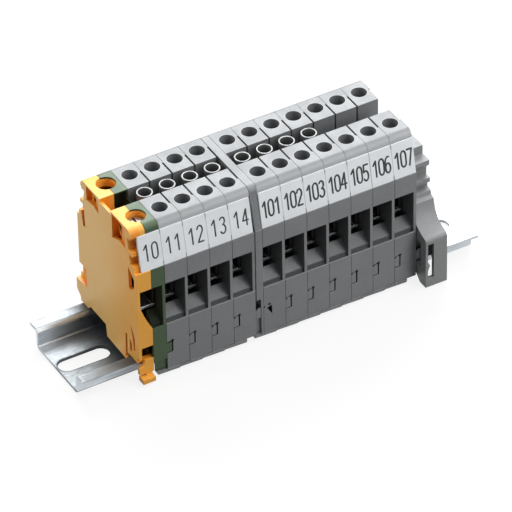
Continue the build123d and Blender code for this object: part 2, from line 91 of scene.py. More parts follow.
def body_of(node):
    """Name of the body that a CAD node belongs to."""
    return next(name for name, members in frame["record"]["behaviour"]["bodies"].items() if node in members)


# Nodes and shader maths


def add_node(tree, kind, settings=None, inputs=None, out=0):
    """Adds a node to a tree: its settings first, then the values or links of its sockets."""
    made = tree.nodes.new(kind)
    for key, value in (settings or {}).items():
        setattr(made, key, value)
    for key, value in (inputs or {}).items():
        socket = made.inputs[key]
        if isinstance(value, Value):
            value = value.socket
        if isinstance(value, bpy.types.NodeSocket):
            tree.links.new(value, socket)
        elif socket.type == "RGBA":
            socket.default_value = (*value, 1.0)
        else:
            socket.default_value = value
    return made.outputs[out] if made.outputs else None


class Value:
    """A number inside a shader: arithmetic on it adds Math nodes."""

    def __init__(self, shader, socket):
        self.shader = shader
        self.socket = socket

    def math(self, operation, *values):
        inputs = dict(enumerate(values))
        return Value(self.shader, self.shader.node("ShaderNodeMath", {"operation": operation}, inputs))

    def __add__(self, other):
        return self.math("ADD", self, other)

    def __sub__(self, other):
        return self.math("SUBTRACT", self, other)

    def __rsub__(self, other):
        return self.math("SUBTRACT", other, self)

    def __mul__(self, other):
        return self.math("MULTIPLY", self, other)

    def __truediv__(self, other):
        return self.math("DIVIDE", self, other)

    def __rtruediv__(self, other):
        return self.math("DIVIDE", other, self)

    __radd__ = __add__
    __rmul__ = __mul__

    def size(self):
        return self.math("ABSOLUTE", self)

    def positive(self):
        return self.math("MAXIMUM", self, 0.0)

    def cell(self, start, step):
        """Place within a cell that repeats from a start at a step."""
        return self.math("FLOORED_MODULO", self - start, step)

    def distance_to_multiple(self, step):
        """How far the number is from the nearest multiple of a step."""
        return self.math("PINGPONG", self, step / 2)

    def distance(self, other):
        """How far a place is from zero, with this number on one axis and another on the next."""
        square = self * self + other * other
        return self.math("SQRT", square)

    def ramp(self, low, high, to_low=0.0, to_high=1.0):
        """Smooth change from one value to another between two bounds."""
        inputs = {"Value": self, "From Min": low, "From Max": high, "To Min": to_low, "To Max": to_high}
        made = self.shader.node("ShaderNodeMapRange", {"interpolation_type": "SMOOTHSTEP"}, inputs)
        return Value(self.shader, made)

    def above(self, bound, soft=0.1):
        """One past a bound, zero a soft edge short of it."""
        return self.ramp(bound - soft, bound)

    def below(self, bound, soft=0.1):
        """One short of a bound, zero a soft edge past it."""
        return self.ramp(bound, bound + soft, 1.0, 0.0)

    def band(self, low, high, soft=0.1):
        """One between two bounds and zero outside, with soft edges."""
        return self.above(low, soft) * self.below(high, soft)


BLACK = (0.0, 0.0, 0.0)


class Shader:
    """Node tree of one material, with its place and its usual nodes."""

    def __init__(self, name):
        self.material = bpy.data.materials.new(name)
        self.material.use_nodes = True
        self.tree = self.material.node_tree
        self.tree.nodes.clear()
        self.place = self.node("ShaderNodeTexCoord", out="Object")

    def node(self, kind, settings=None, inputs=None, out=0):
        return add_node(self.tree, kind, settings, inputs, out)

    def axes(self):
        """Place in millimetres: along the rail, across it from its middle plane, and up."""
        made = self.node("ShaderNodeSeparateXYZ", None, {0: self.place})
        return [Value(self, socket) / MM for socket in made.node.outputs]

    def noise(self, blob, detail=3.0, stretch=(1.0, 1.0, 1.0), rough=0.55):
        """Noise whose blobs are about so many millimetres across, longer where stretched."""
        scale = [1.0 / factor for factor in stretch]
        place = self.node("ShaderNodeMapping", {"vector_type": "POINT"},
                          {"Vector": self.place, "Scale": scale})
        inputs = {"Vector": place, "Scale": 1.0 / (blob * MM), "Detail": detail, "Roughness": rough}
        return Value(self, self.node("ShaderNodeTexNoise", None, inputs))

    def mix(self, factor, first, second):
        """Blend of two colours."""
        inputs = {0: factor, 6: first, 7: second}
        return self.node("ShaderNodeMix", {"data_type": "RGBA"}, inputs, out=2)

    def shaded(self, share, base):
        """A colour taken towards black by a share."""
        return self.mix(share, base, BLACK)

    def bump(self, height, distance):
        """Normal bent by a height, whose full range stands for a distance in millimetres."""
        return self.node("ShaderNodeBump", None, {"Height": height, "Distance": distance * MM})

    def surface(self, colour, roughness, normal, metallic=0.0, specular=0.5):
        """Principled surface as the material's output."""
        inputs = {"Base Color": colour, "Roughness": roughness, "Normal": normal, "Metallic": metallic,
                  "Specular IOR Level": specular}
        return self.finish(self.node("ShaderNodeBsdfPrincipled", None, inputs))

    def finish(self, surface):
        """Makes a surface the output and gives the finished material."""
        self.node("ShaderNodeOutputMaterial", None, {"Surface": surface})
        return self.material


def tinted(colour, factor):
    """A colour made lighter or darker, kept in range."""
    return tuple(min(1.0, channel * factor) for channel in colour)


# Plastics

# How much rougher a shaded hollow is than the plastic round it, so that no sheen fills it.
HOLLOW_ROUGHNESS = 0.5

# Places on a terminal in millimetres: out from the rail's middle plane, along from the terminal's open
# side, and up from the rail's foot.
FACE_Y = 18.9
SLOPE_Y = 16.3
HOOK_BAY_Y = 16.8
VALLEY_Y = 7.0
INNER_WALL = 7.75
HOOK_X = 2.0
ELBOW_X = 0.15
ENTRY_LOW = 20.0
ENTRY_HIGH = 35.9
ENTRY_STEP = 1.2
HOOK_TOP = 12.6
HOOK_BAY_LOW = 7.8
HOOK_BAY_HIGH = 13.2

# How far each shade takes the grey plastic towards black.
SHADE = {"entry": 0.52, "entry step": 0.12, "inner wall": 0.95, "hook bay": 0.95, "valley": 0.7,
         "seam": 0.35, "tab gap": 0.95}

# How far each painted highlight mixes the plastic with lighter plastic, and how much lighter that is.
PAINTED_HIGHLIGHT = {"well rim": (0.6, 1.7), "top slope": (0.9, 2.7), "entry lip": (0.5, 2.2)}

# Redder, darker colour painted deep in the yellow shell's pockets for the shade and the light bounced about
# in them.
POCKET_SHADE_RED = (1.0, 0.32, 0.02)


def moulded_plastic(name, colour, roughness, specular=0.5, marks=None):
    """Injection-moulded plastic: cloudy tone, pale specks, satin grain, duller patches, and any painted
    light and shade given as marks.
    """
    shader = Shader(name)
    cloud = shader.noise(blob=14.0, detail=2.0).ramp(0.3, 0.7)
    speck = shader.noise(blob=0.6, detail=2.0, rough=0.7).ramp(0.5, 0.72)
    base = shader.mix(cloud, tinted(colour, 0.95), tinted(colour, 1.05))
    base = shader.mix(speck * 0.4, base, tinted(colour, 1.35))
    rough = shader.noise(blob=5.0).ramp(0.3, 0.7, roughness - 0.05, roughness + 0.06)
    if marks:
        base, hollows = marks(shader, base, colour)
        rough = rough + hollows * HOLLOW_ROUGHNESS
    grain = shader.bump(shader.noise(blob=0.45, rough=0.6), 0.02)
    return shader.surface(base, rough, grain, specular=specular)


def spot(along, height, x, z, radius):
    """One within a radius of a place on a front face."""
    return (along - x).distance(height - z).ramp(radius * 0.7, radius * 1.2, 1.0, 0.0)


def well_rim_highlight(x, y, z, well):
    """How strongly a place lies on the painted highlight round the rim of a screwdriver well in the top
    faces.
    """
    along = (x - well["x"]).distance_to_multiple(well["pitch"])
    ring = along.distance(y - well["out"]) - well["radius"]
    return ring.ramp(0.1, 0.45, 1.0, 0.0) * z.above(well["top"] - 0.03, 0.07)


def grey_marks(well):
    """Painted light and shade on the grey shells, hung from their wells' places: painted highlights on the
    well rims, top slopes and entry lips, painted shade in the hollows, seams and tab gaps.
    """
    top, pitch = well["top"], well["pitch"]

    # Mixes a painted highlight into the plastic where a mask is one.
    def highlighted(shader, kind, mask, base, colour):
        share, factor = PAINTED_HIGHLIGHT[kind]
        return shader.mix(mask * share, base, tinted(colour, factor))

    def marks(shader, base, colour):
        x, across, z = shader.axes()
        y = across.size()
        along = x.cell(well["x"] - pitch / 2, pitch)
        # Painted highlights on the well rims and on the sloped front of the tops.
        base = highlighted(shader, "well rim", well_rim_highlight(x, y, z, well), base, colour)
        slope = across.below(-SLOPE_Y, 1.7) * z.above(top - 4.0, 2.0)
        base = highlighted(shader, "top slope", slope, base, colour)
        # Painted shade inside the wire entries, on their inner wall and step, in the hook bay and low in the
        # valley.
        hollow = y.below(FACE_Y - 0.1) * along.band(0.06, INNER_WALL + 0.1, 0.04)
        inside = hollow * z.band(ENTRY_LOW - 0.2, ENTRY_HIGH)
        wall = inside * (along - INNER_WALL).size().below(0.06)
        base = shader.shaded(wall * SHADE["inner wall"], base)
        step = inside * z.band(ENTRY_LOW - 0.2, ENTRY_LOW + ENTRY_STEP)
        base = shader.shaded(step * SHADE["entry step"] + inside * SHADE["entry"], base)
        hidden = hollow * y.above(HOOK_BAY_Y, 0.2) * z.band(HOOK_BAY_LOW, HOOK_BAY_HIGH)
        base = shader.shaded(hidden * SHADE["hook bay"], base)
        valley = hollow * y.below(VALLEY_Y - 0.2, 0.2) * z.below(top - 11.0, 6.0)
        base = shader.shaded(valley * SHADE["valley"], base)
        # Painted shade in the seams between terminals and in the gap round each interlocking tab.
        seam = along.distance_to_multiple(pitch).below(0.07, 0.13) * y.above(FACE_Y - 0.15, 0.15)
        base = shader.shaded(seam * z.below(top - 15.0, 1.0) * SHADE["seam"], base)
        front = y.above(FACE_Y, 0.05)
        gap = spot(along, z, HOOK_X, HOOK_TOP, 0.6) + spot(along, z, ELBOW_X, HOOK_TOP - 0.5, 0.42)
        base = shader.shaded(gap * front * across.below(-1.0, 1.0) * SHADE["tab gap"], base)
        # Painted highlight along the top edge of each wire entry's front lip.
        lip = front * z.band(ENTRY_LOW - 0.25, ENTRY_LOW)
        return highlighted(shader, "entry lip", lip, base, colour), wall + valley
    return marks


def green_marks(top):
    """Shade in the green shell's wire entries and valley."""
    def marks(shader, base, colour):
        _, across, z = shader.axes()
        y = across.size()
        inside = y.below(FACE_Y - 0.1) * z.band(ENTRY_LOW - 1.0, ENTRY_HIGH)
        valley = y.below(VALLEY_Y - 0.2, 0.2) * z.band(ENTRY_HIGH, top - 0.4)
        return shader.shaded(inside * 0.85 + valley * 0.8, base), inside + valley
    return marks


def yellow_marks(left, pale, well):
    """Painted light and shade on the yellow shell: a painted sheen paling the flat side, a redder painted
    shade deep in its pockets, painted shade low in the wells.
    """
    top = well["top"]

    def marks(shader, base, colour):
        x, across, z = shader.axes()
        y = across.size()
        # Painted shade, redder, deep in the side pockets.
        hollow = x.above(left + 0.5, 0.2) * x.below(left + 3.2, 0.2) * z.below(top - 0.6, 0.3)
        base = shader.mix(hollow * y.below(FACE_Y - 0.7, 0.3) * 0.8, base, POCKET_SHADE_RED)
        # Painted sheen paling the flat side, stronger towards the back.
        side = x.below(left + 0.05, 0.15) * across.ramp(-16.0, 6.0, 0.12, 1.0)
        base = shader.mix(side, base, pale)
        # Painted shade low in the wells.
        bore = (x - well["x"]).distance(y - well["out"]).below(well["radius"] + 0.1)
        low = bore * z.below(top - 3.8, 0.5)
        return shader.shaded(low * 0.94, base), low
    return marks


def tag_plastic(name, colour, start, step):
    """White tag stock with a faint score line between tags, from a first seam at a pitch."""
    shader = Shader(name)
    along = shader.axes()[0]
    line = (along - start).distance_to_multiple(step).below(0.06, 0.14) * along.above(start - 1.5, 0.5)
    cloud = shader.noise(blob=9.0, detail=2.0).ramp(0.3, 0.7)
    base = shader.mix(cloud, tinted(colour, 0.97), tinted(colour, 1.02))
    base = shader.mix(line * 0.55, base, tinted(colour, 0.45))
    rough = shader.noise(blob=3.0).ramp(0.3, 0.7, 0.38, 0.5)
    height = shader.noise(blob=0.8, detail=2.0) * 0.3 - line
    return shader.surface(base, rough, shader.bump(height, 0.03), specular=0.35)


def ink(name, colour):
    """Matt marker ink, thinner and paler in places."""
    shader = Shader(name)
    thin = shader.noise(blob=0.9).ramp(0.4, 0.75)
    base = shader.mix(thin, colour, tinted(colour, 2.0))
    rough = shader.noise(blob=0.5).ramp(0.3, 0.7, 0.5, 0.65)
    return shader.surface(base, rough, shader.bump(shader.noise(blob=0.3), 0.01))


# Metals

# The rail in millimetres: its sheet and height, the stretch under the terminals where shade is painted, and
# for its slots one centre, their distance, half the straight part and the end radius.
RAIL_SHEET = 1.0
RAIL_HEIGHT = 7.5
COVERED = (-52.0, 52.0)
SLOT_X = 12.5
SLOT_PITCH = 25.0
SLOT_STRAIGHT = 5.85
SLOT_RADIUS = 3.15

# A cage's lip: its thickness and a margin below it in millimetres, and the colour of the glint painted on
# it.
CAGE_SHEET = 1.02
LIP_MARGIN = 0.2
GLINT_STEEL = (0.95, 0.96, 0.97)


def rolled_zinc(name, colour):
    """Zinc-plated strip steel: streaks along the rail, dull patches, spangles, and painted shade under the
    shells, on the web and brims and round the slots.
    """
    shader = Shader(name)
    streak = shader.noise(blob=0.9, detail=4.0, stretch=(28.0, 1.0, 1.0))
    patch = shader.noise(blob=7.0, detail=4.0, stretch=(2.5, 1.0, 1.0)).ramp(0.35, 0.68)
    spangle = shader.noise(blob=1.6, detail=5.0, rough=0.7)
    base = shader.mix(patch, tinted(colour, 0.62), colour)
    base = shader.mix(streak.ramp(0.35, 0.7) * 0.4, base, tinted(colour, 1.2))
    along, across, height = shader.axes()
    # Painted shade under the shells.
    covered = along.above(COVERED[0], 14.0) * along.below(COVERED[1], 8.0)
    base = shader.shaded(covered * 0.5, base)
    # Painted shade on the web and the brims, lighter at the back left corner and fading towards the bright
    # right end.
    web = height.below(RAIL_SHEET + 0.05, 0.25)
    brim = height.above(RAIL_HEIGHT - 0.05, 0.25)
    back_corner = along.below(-70.0, 12.0) * across.above(9.0, 11.0)
    bright_end = along.ramp(30.0, 48.0, 1.0, 0.15)
    flat = web * (0.56 - back_corner * 0.42) + brim * 0.6
    base = shader.shaded(flat * bright_end, base)
    # Painted shade round the rims of the slots.
    past_straight = ((along - SLOT_X).distance_to_multiple(SLOT_PITCH) - SLOT_STRAIGHT).positive()
    rim = (past_straight.distance(across) - SLOT_RADIUS).size().below(0.15, 0.45)
    base = shader.shaded(rim * web * bright_end * 0.7, base)
    rough = patch * -0.08 + spangle.ramp(0.3, 0.7, 0.3, 0.42) + streak * 0.06 + web * 0.22 + brim * 0.12
    normal = shader.bump(streak * 0.6 + spangle * 0.4, 0.012)
    return shader.surface(base, rough, normal, metallic=1.0)


def turned_metal(name, colour, roughness, blob=1.2, glint_lip=None):
    """Plated metal with fine scratches and dull spots; a painted glint makes a lip bright between its two
    heights.
    """
    shader = Shader(name)
    spots = shader.noise(blob=blob, detail=4.0, rough=0.65).ramp(0.3, 0.72)
    scratch = shader.noise(blob=0.2, detail=2.0, stretch=(9.0, 1.0, 1.0))
    base = shader.mix(spots, tinted(colour, 0.8), tinted(colour, 1.06))
    # Painted glint: the lip's band is mixed to bright steel.
    if glint_lip:
        base = shader.mix(shader.axes()[2].band(*glint_lip), base, GLINT_STEEL)
    rough = spots * -0.1 + scratch * 0.12 + roughness
    return shader.surface(base, rough, shader.bump(scratch, 0.006), metallic=1.0)


# Mesh helpers


def linked(name, mesh):
    """New object at the origin with this mesh."""
    made = bpy.data.objects.new(name, mesh)
    bpy.context.scene.collection.objects.link(made)
    return made


def evaluated_mesh(made):
    """Plain mesh of an object with its modifiers applied."""
    bpy.context.view_layer.update()
    ready = made.evaluated_get(bpy.context.evaluated_depsgraph_get())
    return bpy.data.meshes.new_from_object(ready)


def flattened(made):
    """Replaces an object's modifiers with their result."""
    mesh = evaluated_mesh(made)
    made.modifiers.clear()
    old = made.data
    made.data = mesh
    bpy.data.batch_remove([old])


# Distance below which points are merged, angle below which faces are made one, and angle from which
# an edge is rounded on a moulded piece and sharp on a turned one.
MERGE_DISTANCE = 0.002 * MM
FLAT_ANGLE = math.radians(0.8)
ROUNDED_ANGLE = math.radians(28)
SMOOTH_ANGLE = math.radians(32)


def merged_mesh(node, name, reshape=None):
    """Copy of a CAD node's mesh with its points merged, its flat areas made whole faces, and reshaped."""
    work = bmesh.new()
    work.from_mesh(frame["nodes"][node].data)
    bmesh.ops.remove_doubles(work, verts=work.verts, dist=MERGE_DISTANCE)
    bmesh.ops.dissolve_limit(work, angle_limit=FLAT_ANGLE, verts=work.verts, edges=work.edges)
    for face in work.faces:
        face.smooth = True
    if reshape:
        for vertex in work.verts:
            vertex.co = Vector(reshape(*(vertex.co / MM))) * MM
    mesh = bpy.data.meshes.new(name)
    work.to_mesh(mesh)
    work.free()
    return mesh


def moulded(node, material, slot, round_edge, segments=2, reshape=None):
    """Dressed copy of a CAD node with edges rounded by so many millimetres, which stands for the node."""
    made = linked(f"{node}_moulded", merged_mesh(node, f"{node}_moulded", reshape))
    made.data.materials.clear()
    made.data.materials.append(material)
    bevel = made.modifiers.new("Soft edges", "BEVEL")
    bevel.width = round_edge * MM
    bevel.segments = segments
    bevel.limit_method = "ANGLE"
    bevel.angle_limit = ROUNDED_ANGLE
    bevel.use_clamp_overlap = False
    weighted = made.modifiers.new("Flat faces", "WEIGHTED_NORMAL")
    weighted.keep_sharp = True
    flattened(made)
    finish_piece(made, body_of(node), slot, node)


# Corners of the CAD shells that the photograph has elsewhere, in millimetres. Entry floors: distance
# from the middle plane, height, new height. Tab and notch: place from the terminal's middle and height,
# then both anew; they lie between two planes near the front.
SAME_PLACE = 0.03
ENTRY_FLOOR = ((18.0, 22.6, 21.3), (14.6, 23.76, 24.37))
TAB_CORNERS = {
    (-4.0, 12.125): (-4.0, 12.4), (-1.95, 12.125): (-1.8, 12.95), (-1.95, 8.275): (-1.8, 8.1),
    (-4.0, 8.275): (-4.0, 8.1), (5.75, 12.0): (5.75, 12.5),
}
TAB_Y = (-19.5, -17.0)


def near(value, target):
    """Whether two lengths in millimetres are the same but for the mesh's rounding."""
    return abs(value - target) < SAME_PLACE


def entry_floor(x, y, z):
    """The wire entry's floor with a lower step at the mouth and a steeper rise behind it."""
    for across, height, new_height in ENTRY_FLOOR:
        if near(abs(y), across) and near(z, height):
            return x, y, new_height
    return x, y, z


def grey_shape(centre):
    """Reshapes a grey shell's entry floors and opens the gap round its interlocking tab."""
    def reshape(x, y, z):
        if TAB_Y[0] < y < TAB_Y[1]:
            for (along, height), (new_along, new_height) in TAB_CORNERS.items():
                if near(x - centre, along) and near(z, height):
                    return centre + new_along, y, new_height
        return entry_floor(x, y, z)
    return reshape


def finish_piece(made, body, slot, *nodes):
    """Says what a finished piece rides on and what it stands for; the slot for its finish is not used."""
    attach(made, body)
    if nodes:
        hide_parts(*nodes)


# Geometry node trees


class Tree:
    """A geometry node tree with named inputs."""

    def __init__(self, name, sizes):
        self.group = bpy.data.node_groups.new(name, "GeometryNodeTree")
        self.group.interface.new_socket("Geometry", in_out="INPUT", socket_type="NodeSocketGeometry")
        self.keys = {}
        for label, default in sizes.items():
            kind = "NodeSocketFloat"
            if isinstance(default, bpy.types.Material):
                kind = "NodeSocketMaterial"
            socket = self.group.interface.new_socket(label, in_out="INPUT", socket_type=kind)
            socket.default_value = default
            self.keys[label] = socket.identifier
        self.group.interface.new_socket("Geometry", in_out="OUTPUT", socket_type="NodeSocketGeometry")
        self.input = self.group.nodes.new("NodeGroupInput")

    def node(self, kind, settings=None, inputs=None, out=0):
        return add_node(self.group, kind, settings, inputs, out)

    def math(self, operation, first, second):
        return self.node("ShaderNodeMath", {"operation": operation}, {0: first, 1: second})

    def size(self, label):
        return self.input.outputs[label]

    def finish(self, geometry, material):
        """Ends the tree in real geometry with its material set."""
        real = self.node("GeometryNodeRealizeInstances", None, {0: geometry})
        coated = self.node("GeometryNodeSetMaterial", None, {0: real, "Material": material})
        self.node("NodeGroupOutput", None, {0: coated})


def grown(tree, mesh, top, length, scale):
    """Extrudes the top face by a length and scales it; gives the mesh and its new top."""
    made = tree.node("GeometryNodeExtrudeMesh", {"mode": "FACES"},
                     {"Mesh": mesh, "Selection": top, "Offset Scale": length, "Individual": False})
    top = made.node.outputs["Top"]
    sides = {"Geometry": made, "Selection": top, "Scale": scale}
    return tree.node("GeometryNodeScaleElements", None, sides), top


# Screws in millimetres; a shank's length comes from its CAD node and the chamfer from the panel.
CLAMP_SCREW = {"Head Radius": 2.3, "Head Height": 3.0, "Shank Radius": 1.75,
               "Slot Width": 0.8, "Slot Depth": 1.2}
GROUND_SCREW = CLAMP_SCREW | {"Head Radius": 2.9, "Shank Radius": 2.5}
BRIDGE_SCREW = {"Head Radius": 1.9, "Head Height": 2.6, "Shank Radius": 1.3,
                "Slot Width": 0.6, "Slot Depth": 0.9}


def screw_tree(material):
    """Slotted screw: shank, low head with a turned chamfer, and a straight slot."""
    defaults = {label: value * MM for label, value in CLAMP_SCREW.items()}
    tree = Tree("Slotted screw", defaults | {"Shank Length": 7.0 * MM, "Chamfer": 0.3 * MM})
    head, shank = tree.size("Head Radius"), tree.size("Shank Radius")
    head_height, shank_length = tree.size("Head Height"), tree.size("Shank Length")
    chamfer = tree.size("Chamfer")
    cylinder = tree.node("GeometryNodeMeshCylinder", {"fill_type": "NGON"},
                         {"Vertices": 40, "Radius": shank, "Depth": shank_length})
    top = cylinder.node.outputs["Top"]
    lift = tree.node("ShaderNodeCombineXYZ", None, {"Z": tree.math("MULTIPLY", shank_length, 0.5)})
    mesh = tree.node("GeometryNodeTransform", None, {"Geometry": cylinder, "Translation": lift})
    mesh, top = grown(tree, mesh, top, 0.0, tree.math("DIVIDE", head, shank))
    mesh, top = grown(tree, mesh, top, tree.math("SUBTRACT", head_height, chamfer), 1.0)
    narrow = tree.math("SUBTRACT", head, chamfer)
    mesh, top = grown(tree, mesh, top, chamfer, tree.math("DIVIDE", narrow, head))
    length = tree.math("MULTIPLY", head, 3.0)
    depth = tree.math("MULTIPLY", tree.size("Slot Depth"), 2.0)
    box = tree.node("ShaderNodeCombineXYZ", None, {"X": tree.size("Slot Width"), "Y": length, "Z": depth})
    cutter = tree.node("GeometryNodeMeshCube", None, {"Size": box})
    raised = tree.node("ShaderNodeCombineXYZ", None, {"Z": tree.math("ADD", shank_length, head_height)})
    cutter = tree.node("GeometryNodeTransform", None, {"Geometry": cutter, "Translation": raised})
    cut = tree.node("GeometryNodeMeshBoolean", {"operation": "DIFFERENCE", "solver": "EXACT"},
                    {"Mesh 1": mesh, "Mesh 2": cutter})
    tree.finish(cut, material)
    return tree


def sleeve_tree(material):
    """Round sleeves: one ring with rounded rims, repeated at each of the mesh's points."""
    defaults = {"Radius": 2.65 * MM, "Bore": 2.1 * MM, "Height": 12.0 * MM, "Rim": 0.14 * MM}
    tree = Tree("Valley sleeves", defaults)
    middle = tree.math("MULTIPLY", tree.math("ADD", tree.size("Radius"), tree.size("Bore")), 0.5)
    wall = tree.math("SUBTRACT", tree.size("Radius"), tree.size("Bore"))
    path = tree.node("GeometryNodeCurvePrimitiveCircle", {"mode": "RADIUS"},
                     {"Resolution": 48, "Radius": middle})
    profile = tree.node("GeometryNodeCurvePrimitiveQuadrilateral", {"mode": "RECTANGLE"},
                        {"Width": wall, "Height": tree.size("Height")})
    profile = tree.node("GeometryNodeFilletCurve", {"mode": "POLY"},
                        {"Curve": profile, "Radius": tree.size("Rim"), "Count": 3})
    ring = tree.node("GeometryNodeCurveToMesh", None, {"Curve": path, "Profile Curve": profile})
    points = tree.node("GeometryNodeMeshToPoints", None, {"Mesh": tree.input.outputs["Geometry"]})
    rings = tree.node("GeometryNodeInstanceOnPoints", None, {"Points": points, "Instance": ring})
    tree.finish(rings, material)
    return tree


def stroke_tree(material):
    """Pen strokes: a round line along each curve, with round ends, flattened to a share of its height."""
    tree = Tree("Pen strokes", {"Pen Radius": 0.27 * MM, "Flatness": 0.12, "Step": 0.12 * MM})
    curves = tree.node("GeometryNodeResampleCurve", {"mode": "LENGTH"},
                       {"Curve": tree.input.outputs["Geometry"], "Length": tree.size("Step")})
    pen = tree.node("GeometryNodeCurvePrimitiveCircle", {"mode": "RADIUS"},
                    {"Resolution": 10, "Radius": tree.size("Pen Radius")})
    line = tree.node("GeometryNodeCurveToMesh", None,
                     {"Curve": curves, "Profile Curve": pen, "Fill Caps": True})
    ends = tree.node("GeometryNodeCurveEndpointSelection")
    ball = tree.node("GeometryNodeMeshUVSphere", None,
                     {"Segments": 10, "Rings": 6, "Radius": tree.size("Pen Radius")})
    balls = tree.node("GeometryNodeInstanceOnPoints", None,
                      {"Points": curves, "Selection": ends, "Instance": ball})
    joined = tree.node("GeometryNodeJoinGeometry")
    tree.group.links.new(line, joined.node.inputs[0])
    tree.group.links.new(balls, joined.node.inputs[0])
    real = tree.node("GeometryNodeRealizeInstances", None, {0: joined})
    flat = tree.node("ShaderNodeCombineXYZ", None, {"X": 1.0, "Y": 1.0, "Z": tree.size("Flatness")})
    thin = tree.node("GeometryNodeTransform", None, {"Geometry": real, "Scale": flat})
    tree.finish(thin, material)
    return tree


def add_tree(made, tree, values):
    """Puts a tree on an object with these inputs."""
    modifier = made.modifiers.new(tree.group.name, "NODES")
    modifier.node_group = tree.group
    for label, value in values.items():
        modifier[tree.keys[label]] = value


def turned(made, tree, values):
    """Keeps the plain mesh that a tree makes of an object, shaded smooth up to its sharp edges."""
    add_tree(made, tree, values)
    flattened(made)
    made.data.shade_smooth()
    made.data.set_sharp_from_angle(angle=SMOOTH_ANGLE)


# Sizes and colours a user would change


def colour_property(name, description, default):
    return FloatVectorProperty(name=name, description=description, default=default, size=3,
                               subtype="COLOR", min=0.0, max=1.0)


def length_property(name, description, default):
    return FloatProperty(name=name, description=description, default=default * MM, unit="LENGTH",
                         subtype="DISTANCE", precision=5)


class StripColours(bpy.types.PropertyGroup):
    """Colours of the plastics and metals."""

    grey: colour_property("Grey shells", "Plastic of the grey terminals and the cover", (0.2, 0.206, 0.213))
    bracket: colour_property("End bracket", "Plastic of the end bracket", (0.235, 0.241, 0.243))
    yellow: colour_property("Yellow shell", "Left half of the ground terminal", (0.96, 0.44, 0.06))
    # Painted sheen: the yellow shell's flat side is mixed towards this paler colour, more towards the back,
    # for the light it catches.
    pale: colour_property("Pale yellow", "Satin of the yellow shell's flat side", (0.98, 0.6, 0.2))
    green: colour_property("Green shell", "Right half of the ground terminal", (0.046, 0.086, 0.034))
    tag: colour_property("Tags", "Stock of the tag strips", (0.89, 0.915, 0.935))
    number: colour_property("Numbers", "Ink of the numbers", (0.018, 0.02, 0.024))
    zinc: colour_property("Rail", "Zinc plating of the rail", (0.66, 0.71, 0.75))
    sleeve: colour_property("Sleeves", "Bright metal of the valley sleeves", (0.22, 0.22, 0.22))
    screw: colour_property("Screws", "Plating of the screws", (0.5, 0.5, 0.49))
    # Painted shade: the cages and the rail clamp are given nearly black plating, as they lie deep in shade.
    cage: colour_property("Cages", "Plating of the clamp cages", (0.05, 0.05, 0.05))
    bar: colour_property("Current bars", "Tinned brass", (0.7, 0.66, 0.56))


class StripSizes(bpy.types.PropertyGroup):
    """Sizes of what is added to the CAD shapes."""

    edge: length_property("Edge rounding", "Rounding of the moulded edges", 0.08)
    chamfer: length_property("Screw chamfer", "Turned chamfer on a screw's head", 0.3)
    rim: length_property("Sleeve rim", "Rounding of a sleeve's rim", 0.14)
    pen: length_property("Pen radius", "Half the width of a stroke in the first group", 0.27)
    bold_pen: length_property("Bold pen radius", "Half the width of a stroke in the second group", 0.32)
    number_height: length_property("Number height", "Height of the numbers on the tags", 5.6)
    number_width: length_property("Number width", "Width of a single figure", 1.9)
    well: length_property("Well radius", "Radius of the grey terminals' screwdriver wells", 2.55)
    ground_well: length_property("Ground well radius", "Radius of the ground terminal's wells", 3.8)
    pitch: length_property("Pitch", "Distance between two terminals, and between their tags", 8.0)
    first_number: IntProperty(
        name="First number", description="Number on the first tag of the first group", default=11, min=0)
    second_number: IntProperty(
        name="Second number", description="Number on the first tag of the second group", default=101, min=0)
    ground_number: StringProperty(
        name="Ground number", description="Number on the ground terminal's tag", default="10")


def sizes():
    return bpy.context.scene.strip_sizes


def colours():
    return bpy.context.scene.strip_colours


def well_places(number, radius):
    """Where the wells of a terminal are in millimetres, and those that follow it at the pitch."""
    middle = middle_of(f"screw_front_{number:02d}")
    return {"x": middle.x, "out": abs(middle.y), "top": node_box("end_cover")[1].z,
            "radius": radius / MM, "pitch": sizes().pitch / MM}


# Operators


WHITE = (1.0, 1.0, 1.0)
COOL_WHITE = (0.98, 0.99, 1.0)

# Strength of the white room as light on the object and in reflections.
ROOM_LIGHT = 0.06
ROOM_REFLECTED = 0.9

# Half the floor's side in metres, how pale it is as a source of bounced light, and how much of its
# whiteness is its own where the camera sees it and in reflections.
FLOOR_REACH = 3.0
FLOOR_BOUNCE = 0.27
FLOOR_SEEN = 0.84
FLOOR_REFLECTED = 0.85

# Place in metres that every lamp looks at.
LAMP_TARGET = Vector((0.0, 0.0, 0.04))


class StripOperator:
    """What every operator of this strip shares."""

    bl_options = {"REGISTER", "UNDO"}


